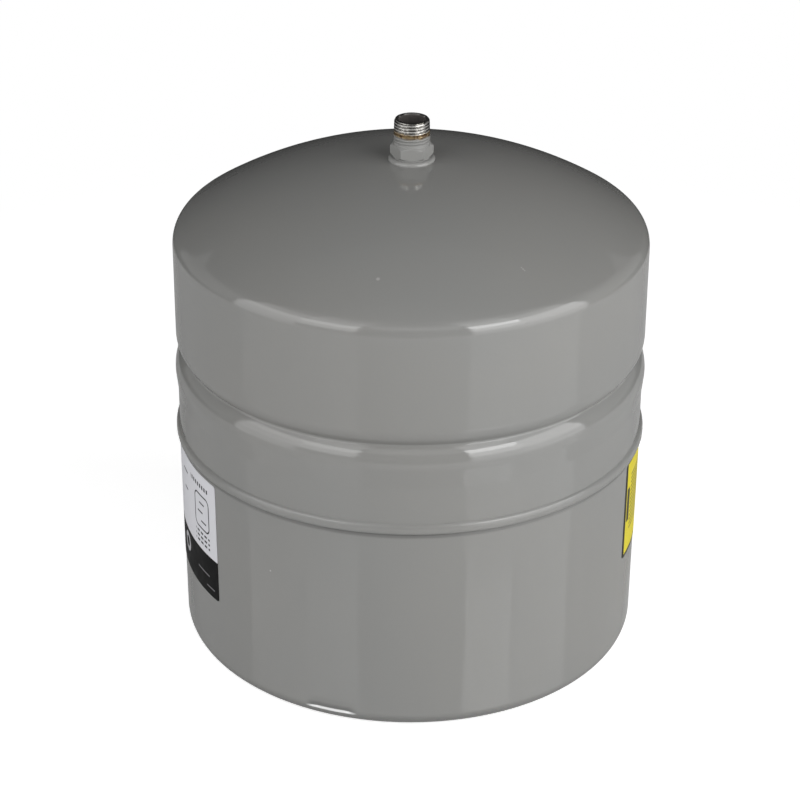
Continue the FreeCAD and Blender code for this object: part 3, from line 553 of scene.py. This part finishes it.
nippleTones = {
    "darkSteel": rgb(0.46, 0.45, 0.43), "paleSteel": rgb(0.66, 0.65, 0.63),
    "darkRust": rgb(0.13, 0.08, 0.045), "paleRust": rgb(0.40, 0.31, 0.18),
    "paint": rgb(0.25, 0.25, 0.242), "bore": rgb(0.13, 0.12, 0.115),
    # heights above the nipple's foot, in mm, where paint and rust end, and how ragged they are
    "painted": (17.4, 16.4), "rusty": (20.4, 19.2), "ragged": 2.2,
}


# Bare turned steel at the tip, a rusty ring under it, and paint from the thread's foot down
def nippleFinish():
    material, start, place = newMaterial("nippleFinish")
    rise = place.part("Z") / mm - nipple["base"]
    bore = reach(place.part("X"), place.part("Y")) < (nipple["port"] + 0.5) * mm
    edge = rise + place.noise(220.0, 3.0) * nippleTones["ragged"]
    painted = edge.ease(*nippleTones["painted"]) * (1 - bore)
    rusty = edge.ease(*nippleTones["rusty"]) * (1 - bore)
    stain = place.noise(520.0, 4.0).ease(0.35, 0.65)
    turned = place.noise(700.0, 2.0).ease(0.3, 0.7)
    steel = turned.blend(nippleTones["darkSteel"], nippleTones["paleSteel"])
    rust = stain.blend(nippleTones["darkRust"], nippleTones["paleRust"])
    tone = painted.blend(rusty.blend(steel, rust), nippleTones["paint"])
    tone = bore.blend(tone, nippleTones["bore"])
    bare = (1 - painted) * (1 - rusty * 0.3) * (1 - bore * 0.5)
    rough = painted.ease(0.0, 1.0, 0.14, 0.12) + rusty * (1 - painted) * 0.12
    height = place.noise(900.0, 2.0) * 0.000004
    surface(start, Base_Color=tone, Metallic=bare, Roughness=rough, Normal=place.bump(height, 1.0))
    return material


give(systemNipple, nippleFinish())


def chartOf(start):
    spot = start.add("ShaderNodeUVMap", {"uv_map": "chart"})
    return spot.part("X"), spot.part("Y")


# 1 inside a rectangle of the chart, with slightly soft edges
def box(across, up, left, right, bottom, top, soft=0.25):
    wide = abs(across - (left + right) / 2) - (right - left) / 2
    tall = abs(up - (bottom + top) / 2) - (top - bottom) / 2
    return wide.most(tall).ease(-soft / 2, soft / 2, 1.0, 0.0)


# Signed distance in mm from a rounded rectangle's edge
def roundBox(across, up, centre, size, corner):
    wide = abs(across - centre[0]) - (size[0] / 2 - corner)
    tall = abs(up - centre[1]) - (size[1] / 2 - corner)
    beyond = reach(wide.most(0.0), tall.most(0.0))
    return beyond + wide.most(tall).least(0.0) - corner


# Print on the white label, in mm of its chart: left, right, bottom and top of every bar
whiteMarks = {
    "bars": ((14.5, 21.5, 59.2, 60.3), (17.0, 24.0, 53.0, 54.1), (12.5, 19.5, 47.0, 48.1),
             (42.0, 52.0, 68.0, 69.2), (43.0, 50.0, 56.0, 57.2)),
    "row": (8.5, 35.0, 70.2, 73.0), "dashes": (8.5, 28.5, 31.0, 40.9), "dashPitch": (5.2, 3.3),
    # centre, size and corner of the outline, and centre and radius of the ring
    "outline": ((18.5, 54.0), (19.5, 23.0), 4.0), "ring": (49.0, 17.5, 5.0),
    "paleBars": ((10.5, 27.0, 12.4, 13.4), (4.5, 14.5, 5.0, 6.0)),
}


# White film over a black foot: a plain outline, dashes, bars and a pale ring
def whitePrint():
    material, start, place = newMaterial("whitePrint")
    across, up = chartOf(start)
    wide, tall = whiteMarks["dashPitch"]
    ink = (across % wide).ease(1.6, 1.9) * (up % tall).ease(1.7, 2.0)
    ink = ink * box(across, up, *whiteMarks["dashes"])
    beads = (across * 2.0).reckon("SINE").ease(-0.4, 0.0)
    ink = ink.most(beads * box(across, up, *whiteMarks["row"]))
    outline = abs(roundBox(across, up, *whiteMarks["outline"]))
    ink = ink.most(outline.ease(0.4, 0.65, 1.0, 0.0))
    for bar in whiteMarks["bars"]:
        ink = ink.most(box(across, up, *bar))
    tone = ink.blend(rgb(0.62, 0.62, 0.65), rgb(0.035, 0.035, 0.04))
    band = up.ease(mainLabel["split"] - 0.1, mainLabel["split"] + 0.1, 1.0, 0.0)
    right, high, radius = whiteMarks["ring"]
    pale = abs(reach(across - right, up - high) - radius).ease(1.3, 1.7, 0.8, 0.0)
    for bar in whiteMarks["paleBars"]:
        pale = pale.most(box(across, up, *bar) * 0.3)
    tone = band.blend(tone, pale.blend(rgb(0.004, 0.004, 0.004), rgb(0.5, 0.5, 0.52)))
    rough = place.noise(120.0).ease(0.3, 0.7, 0.40, 0.48)
    height = place.noise(60.0, 1.0) * 0.00008
    surface(start, Base_Color=tone, Roughness=rough, Specular_IOR_Level=0.05,
            Normal=place.bump(height, 1.0))
    return material


# Print on the yellow label, in mm from its left edge: left, right, bottom and top
yellowMarks = {"lines": (10.5, 90.0, 15.0, 56.0), "linePitch": 2.9, "block": (3.6, 8.6, 24.0, 47.0)}


# Yellow film in a dark edge with plain lines, and nothing that could be read
def yellowPrint():
    material, start, place = newMaterial("yellowPrint")
    across, up = chartOf(start)
    width = labelWidth(sideLabel)
    fromLeft = width - across
    inner = box(across, up, 2.2, width - 2.4, 2.0, sideLabel["height"] + 4)
    lines = (up % yellowMarks["linePitch"]).ease(1.3, 1.7)
    lines = lines * box(fromLeft, up, *yellowMarks["lines"])
    block = box(fromLeft, up, *yellowMarks["block"])
    ink = (lines * 0.7).most(block).most(1.0 - inner)
    tone = ink.blend(rgb(0.62, 0.53, 0.02), rgb(0.02, 0.018, 0.012))
    rough = place.noise(120.0).ease(0.3, 0.7, 0.40, 0.48)
    surface(start, Base_Color=tone, Roughness=rough, Specular_IOR_Level=0.15)
    return material


give(mainSticker, whitePrint())
give(sideSticker, yellowPrint())


# Turned, moulded or drawn stock with a fine grain
def plainFinish(name, dark, light, metal, rough, scale=300.0, depth=0.00002):
    material, start, place = newMaterial(name)
    grain = place.noise(scale, 3.0)
    tone = grain.ease(0.3, 0.7).blend(rgb(*dark), rgb(*light))
    wear = place.noise(scale * 0.3, 2.0).ease(0.3, 0.7, rough - 0.05, rough + 0.08)
    surface(start, Base_Color=tone, Metallic=metal, Roughness=wear,
            Normal=place.bump(grain * depth, 1.0))
    return material


finishes = {
    "plainSteel": plainFinish("plainSteel", (0.42, 0.41, 0.40), (0.55, 0.54, 0.53), 1.0, 0.35),
    "brass": plainFinish("brass", (0.55, 0.38, 0.14), (0.72, 0.53, 0.24), 1.0, 0.28),
    "sealRubber": plainFinish("sealRubber", (0.012, 0.012, 0.012), (0.03, 0.03, 0.03), 0.0, 0.6),
    "butyl": plainFinish("butyl", (0.015, 0.015, 0.015), (0.035, 0.035, 0.034), 0.0, 0.65, 120.0),
    "capPlastic": plainFinish("capPlastic", (0.012, 0.012, 0.013), (0.03, 0.03, 0.03), 0.0, 0.42),
}
for finish, nodes in {
    "plainSteel": ("clench_ring", "valve_boss", "core_pin", "core_spring"),
    "brass": ("valve_stem", "core_plug", "core_barrel", "core_cup"),
    "sealRubber": ("core_gasket", "core_seal", "cap_washer"),
    "butyl": ("diaphragm",),
    "capPlastic": ("valve_cap",),
}.items():
    for node in nodes:
        give(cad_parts[node], finishes[finish])
for piece in (upperShell, lowerShell, seamWeld, systemNipple, mainSticker, sideSticker):
    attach(piece, "tank")
print("materials")

# Studio: a pale glossy table, soft boxes either side of the camera, and a dim ceiling
studio = {
    "table": rgb(0.8, 0.8, 0.8), "tableRadius": 3.0, "tableFront": 2.25, "sheen": 0.1,
    "tableGlow": 0.7,
    # distances from the axis where the table fades to white, and the share of the white that
    # reflections show: in the photo they show dark surroundings behind the tank
    "fade": (0.5, 0.75), "mirrored": 0.03,
    # the lamps' distance, the height they aim at, and what high ones are narrowed to at most
    "far": 2.0, "aim": 0.16, "narrowest": 0.7,
    # heights of the lower and upper edges of every soft box's bands, in degrees
    "bands": ((-8, 10), (10, 24), (24, 36), (36, 50), (50, 62)),
    # bearings of a box's edges in degrees, and each band's brightness against white
    "boxes": {
        "outerLeft": ((-85, -52), (1.78, 2.35, 2.97, 1.37, 0.3)),
        "innerLeft": ((-52, -24), (0.55, 2.56, 4.1, 1.7, 0.9)),
        "innerRight": ((27, 52), (2.18, 4.49, 8.4, 2.4, 1.3)),
        "outerRight": ((52, 85), (2.49, 3.95, 4.23, 1.79, 0.5)),
    },
    # bearing, height, width and depth in degrees, and brightness
    "panels": {
        "farLeft": (-111.5, 17.5, 47, 35, 0.28), "farRight": (111.5, 17.5, 47, 35, 0.27),
        "overCamera": (1.5, 40, 47, 20, 0.7), "ceiling": (0, 79, 70, 22, 0.2),
        "ceilingBack": (180, 79, 70, 22, 0.08),
    },
}
bpy.ops.mesh.primitive_circle_add(vertices=128, radius=studio["tableRadius"], fill_type="NGON",
                                  location=(0, -studio["tableFront"], 0))
table = bpy.context.object
table.name = "table"
material, start, place = newMaterial("tableTop")
toCamera = start.add("ShaderNodeLightPath", output=0)
glossy = start.add("ShaderNodeLightPath", output=3)
glowing = {"Color": rgb(1, 1, 1), "Strength": studio["tableGlow"]}
paper = start.add("ShaderNodeBsdfDiffuse", None, {"Color": studio["table"]})
mirror = start.add("ShaderNodeBsdfAnisotropic", None, {"Color": rgb(1, 1, 1), "Roughness": 0.03})
light = start.add("ShaderNodeEmission", None, glowing)
white = start.add("ShaderNodeEmission", None, {"Color": rgb(1, 1, 1), "Strength": 1.0})
sheen = glossy * studio["sheen"]
polished = start.add("ShaderNodeMixShader", None, {0: sheen, 1: paper, 2: mirror})
lit = start.add("ShaderNodeAddShader", None, {0: paper, 1: light})
away = reach(place.part("X"), place.part("Y") - studio["tableFront"]).ease(*studio["fade"])
backdrop = start.add("ShaderNodeMixShader", None, {0: away, 1: lit, 2: white})
top = start.add("ShaderNodeMixShader", None, {0: toCamera, 1: polished, 2: backdrop})
start.add("ShaderNodeOutputMaterial", None, {"Surface": top})
give(table, material)


# Flat lamp facing the tank, seen from it at a bearing and a height, sized in degrees
def lampAt(name, bearing, height, wide, tall, glow):
    bearing, rise = math.radians(bearing), math.radians(height)
    level = math.cos(rise)
    lamp = bpy.data.lights.new(name, "AREA")
    lamp.shape = "RECTANGLE"
    lamp.size = 2 * studio["far"] * math.tan(math.radians(wide) / 2)
    lamp.size *= max(level, studio["narrowest"])
    lamp.size_y = 2 * studio["far"] * math.tan(math.radians(tall) / 2)
    lamp.energy = glow * math.pi * lamp.size * lamp.size_y
    away = Vector((math.sin(bearing) * level, -math.cos(bearing) * level, math.sin(rise)))
    stand = bpy.data.objects.new(name, lamp)
    stand.location = Vector((0, 0, studio["aim"])) + away * studio["far"]
    stand.rotation_euler = away.to_track_quat("Z", "Y").to_euler()
    bpy.context.scene.collection.objects.link(stand)


for name, ((left, right), glows) in studio["boxes"].items():
    for (low, high), glow in zip(studio["bands"], glows):
        middle = (left + right) / 2, (low + high) / 2
        lampAt(name + str(high), *middle, right - left, high - low, glow)
for name, panel in studio["panels"].items():
    lampAt(name, *panel)
world = bpy.data.worlds.new("room")
bpy.context.scene.world = world
world.use_nodes = True
world.node_tree.nodes.clear()
start = Signal(world.node_tree)
toCamera, glossy, through = (start.add("ShaderNodeLightPath", output=k) for k in (0, 3, 6))
seen = (toCamera + through + glossy * studio["mirrored"]).least(1.0)
room = seen.blend(rgb(0, 0, 0), rgb(1, 1, 1))
glow = start.add("ShaderNodeBackground", None, {"Color": room, "Strength": 1.0})
start.add("ShaderNodeOutputWorld", None, {"Surface": glow})

# Camera: where the photograph was taken from
shot = {
    "place": (-0.00607, -1.3832, 0.8677), "down": 27.52, "roll": 0.319, "lens": 113.92,
    "sensor": 36.0, "clip": (0.05, 50.0),
}
lens = bpy.data.cameras.new("camera")
lens.lens = shot["lens"]
lens.sensor_width = shot["sensor"]
lens.clip_start, lens.clip_end = shot["clip"]
camera = bpy.data.objects.new("camera", lens)
camera.matrix_world = (Matrix.Translation(shot["place"])
                       @ Matrix.Rotation(math.radians(90 - shot["down"]), 4, "X")
                       @ Matrix.Rotation(math.radians(shot["roll"]), 4, "Z"))
bpy.context.scene.collection.objects.link(camera)
bpy.context.scene.camera = camera
bpy.context.scene.view_settings.view_transform = "Standard"
print("studio and camera")

bpy.context.view_layer.update()
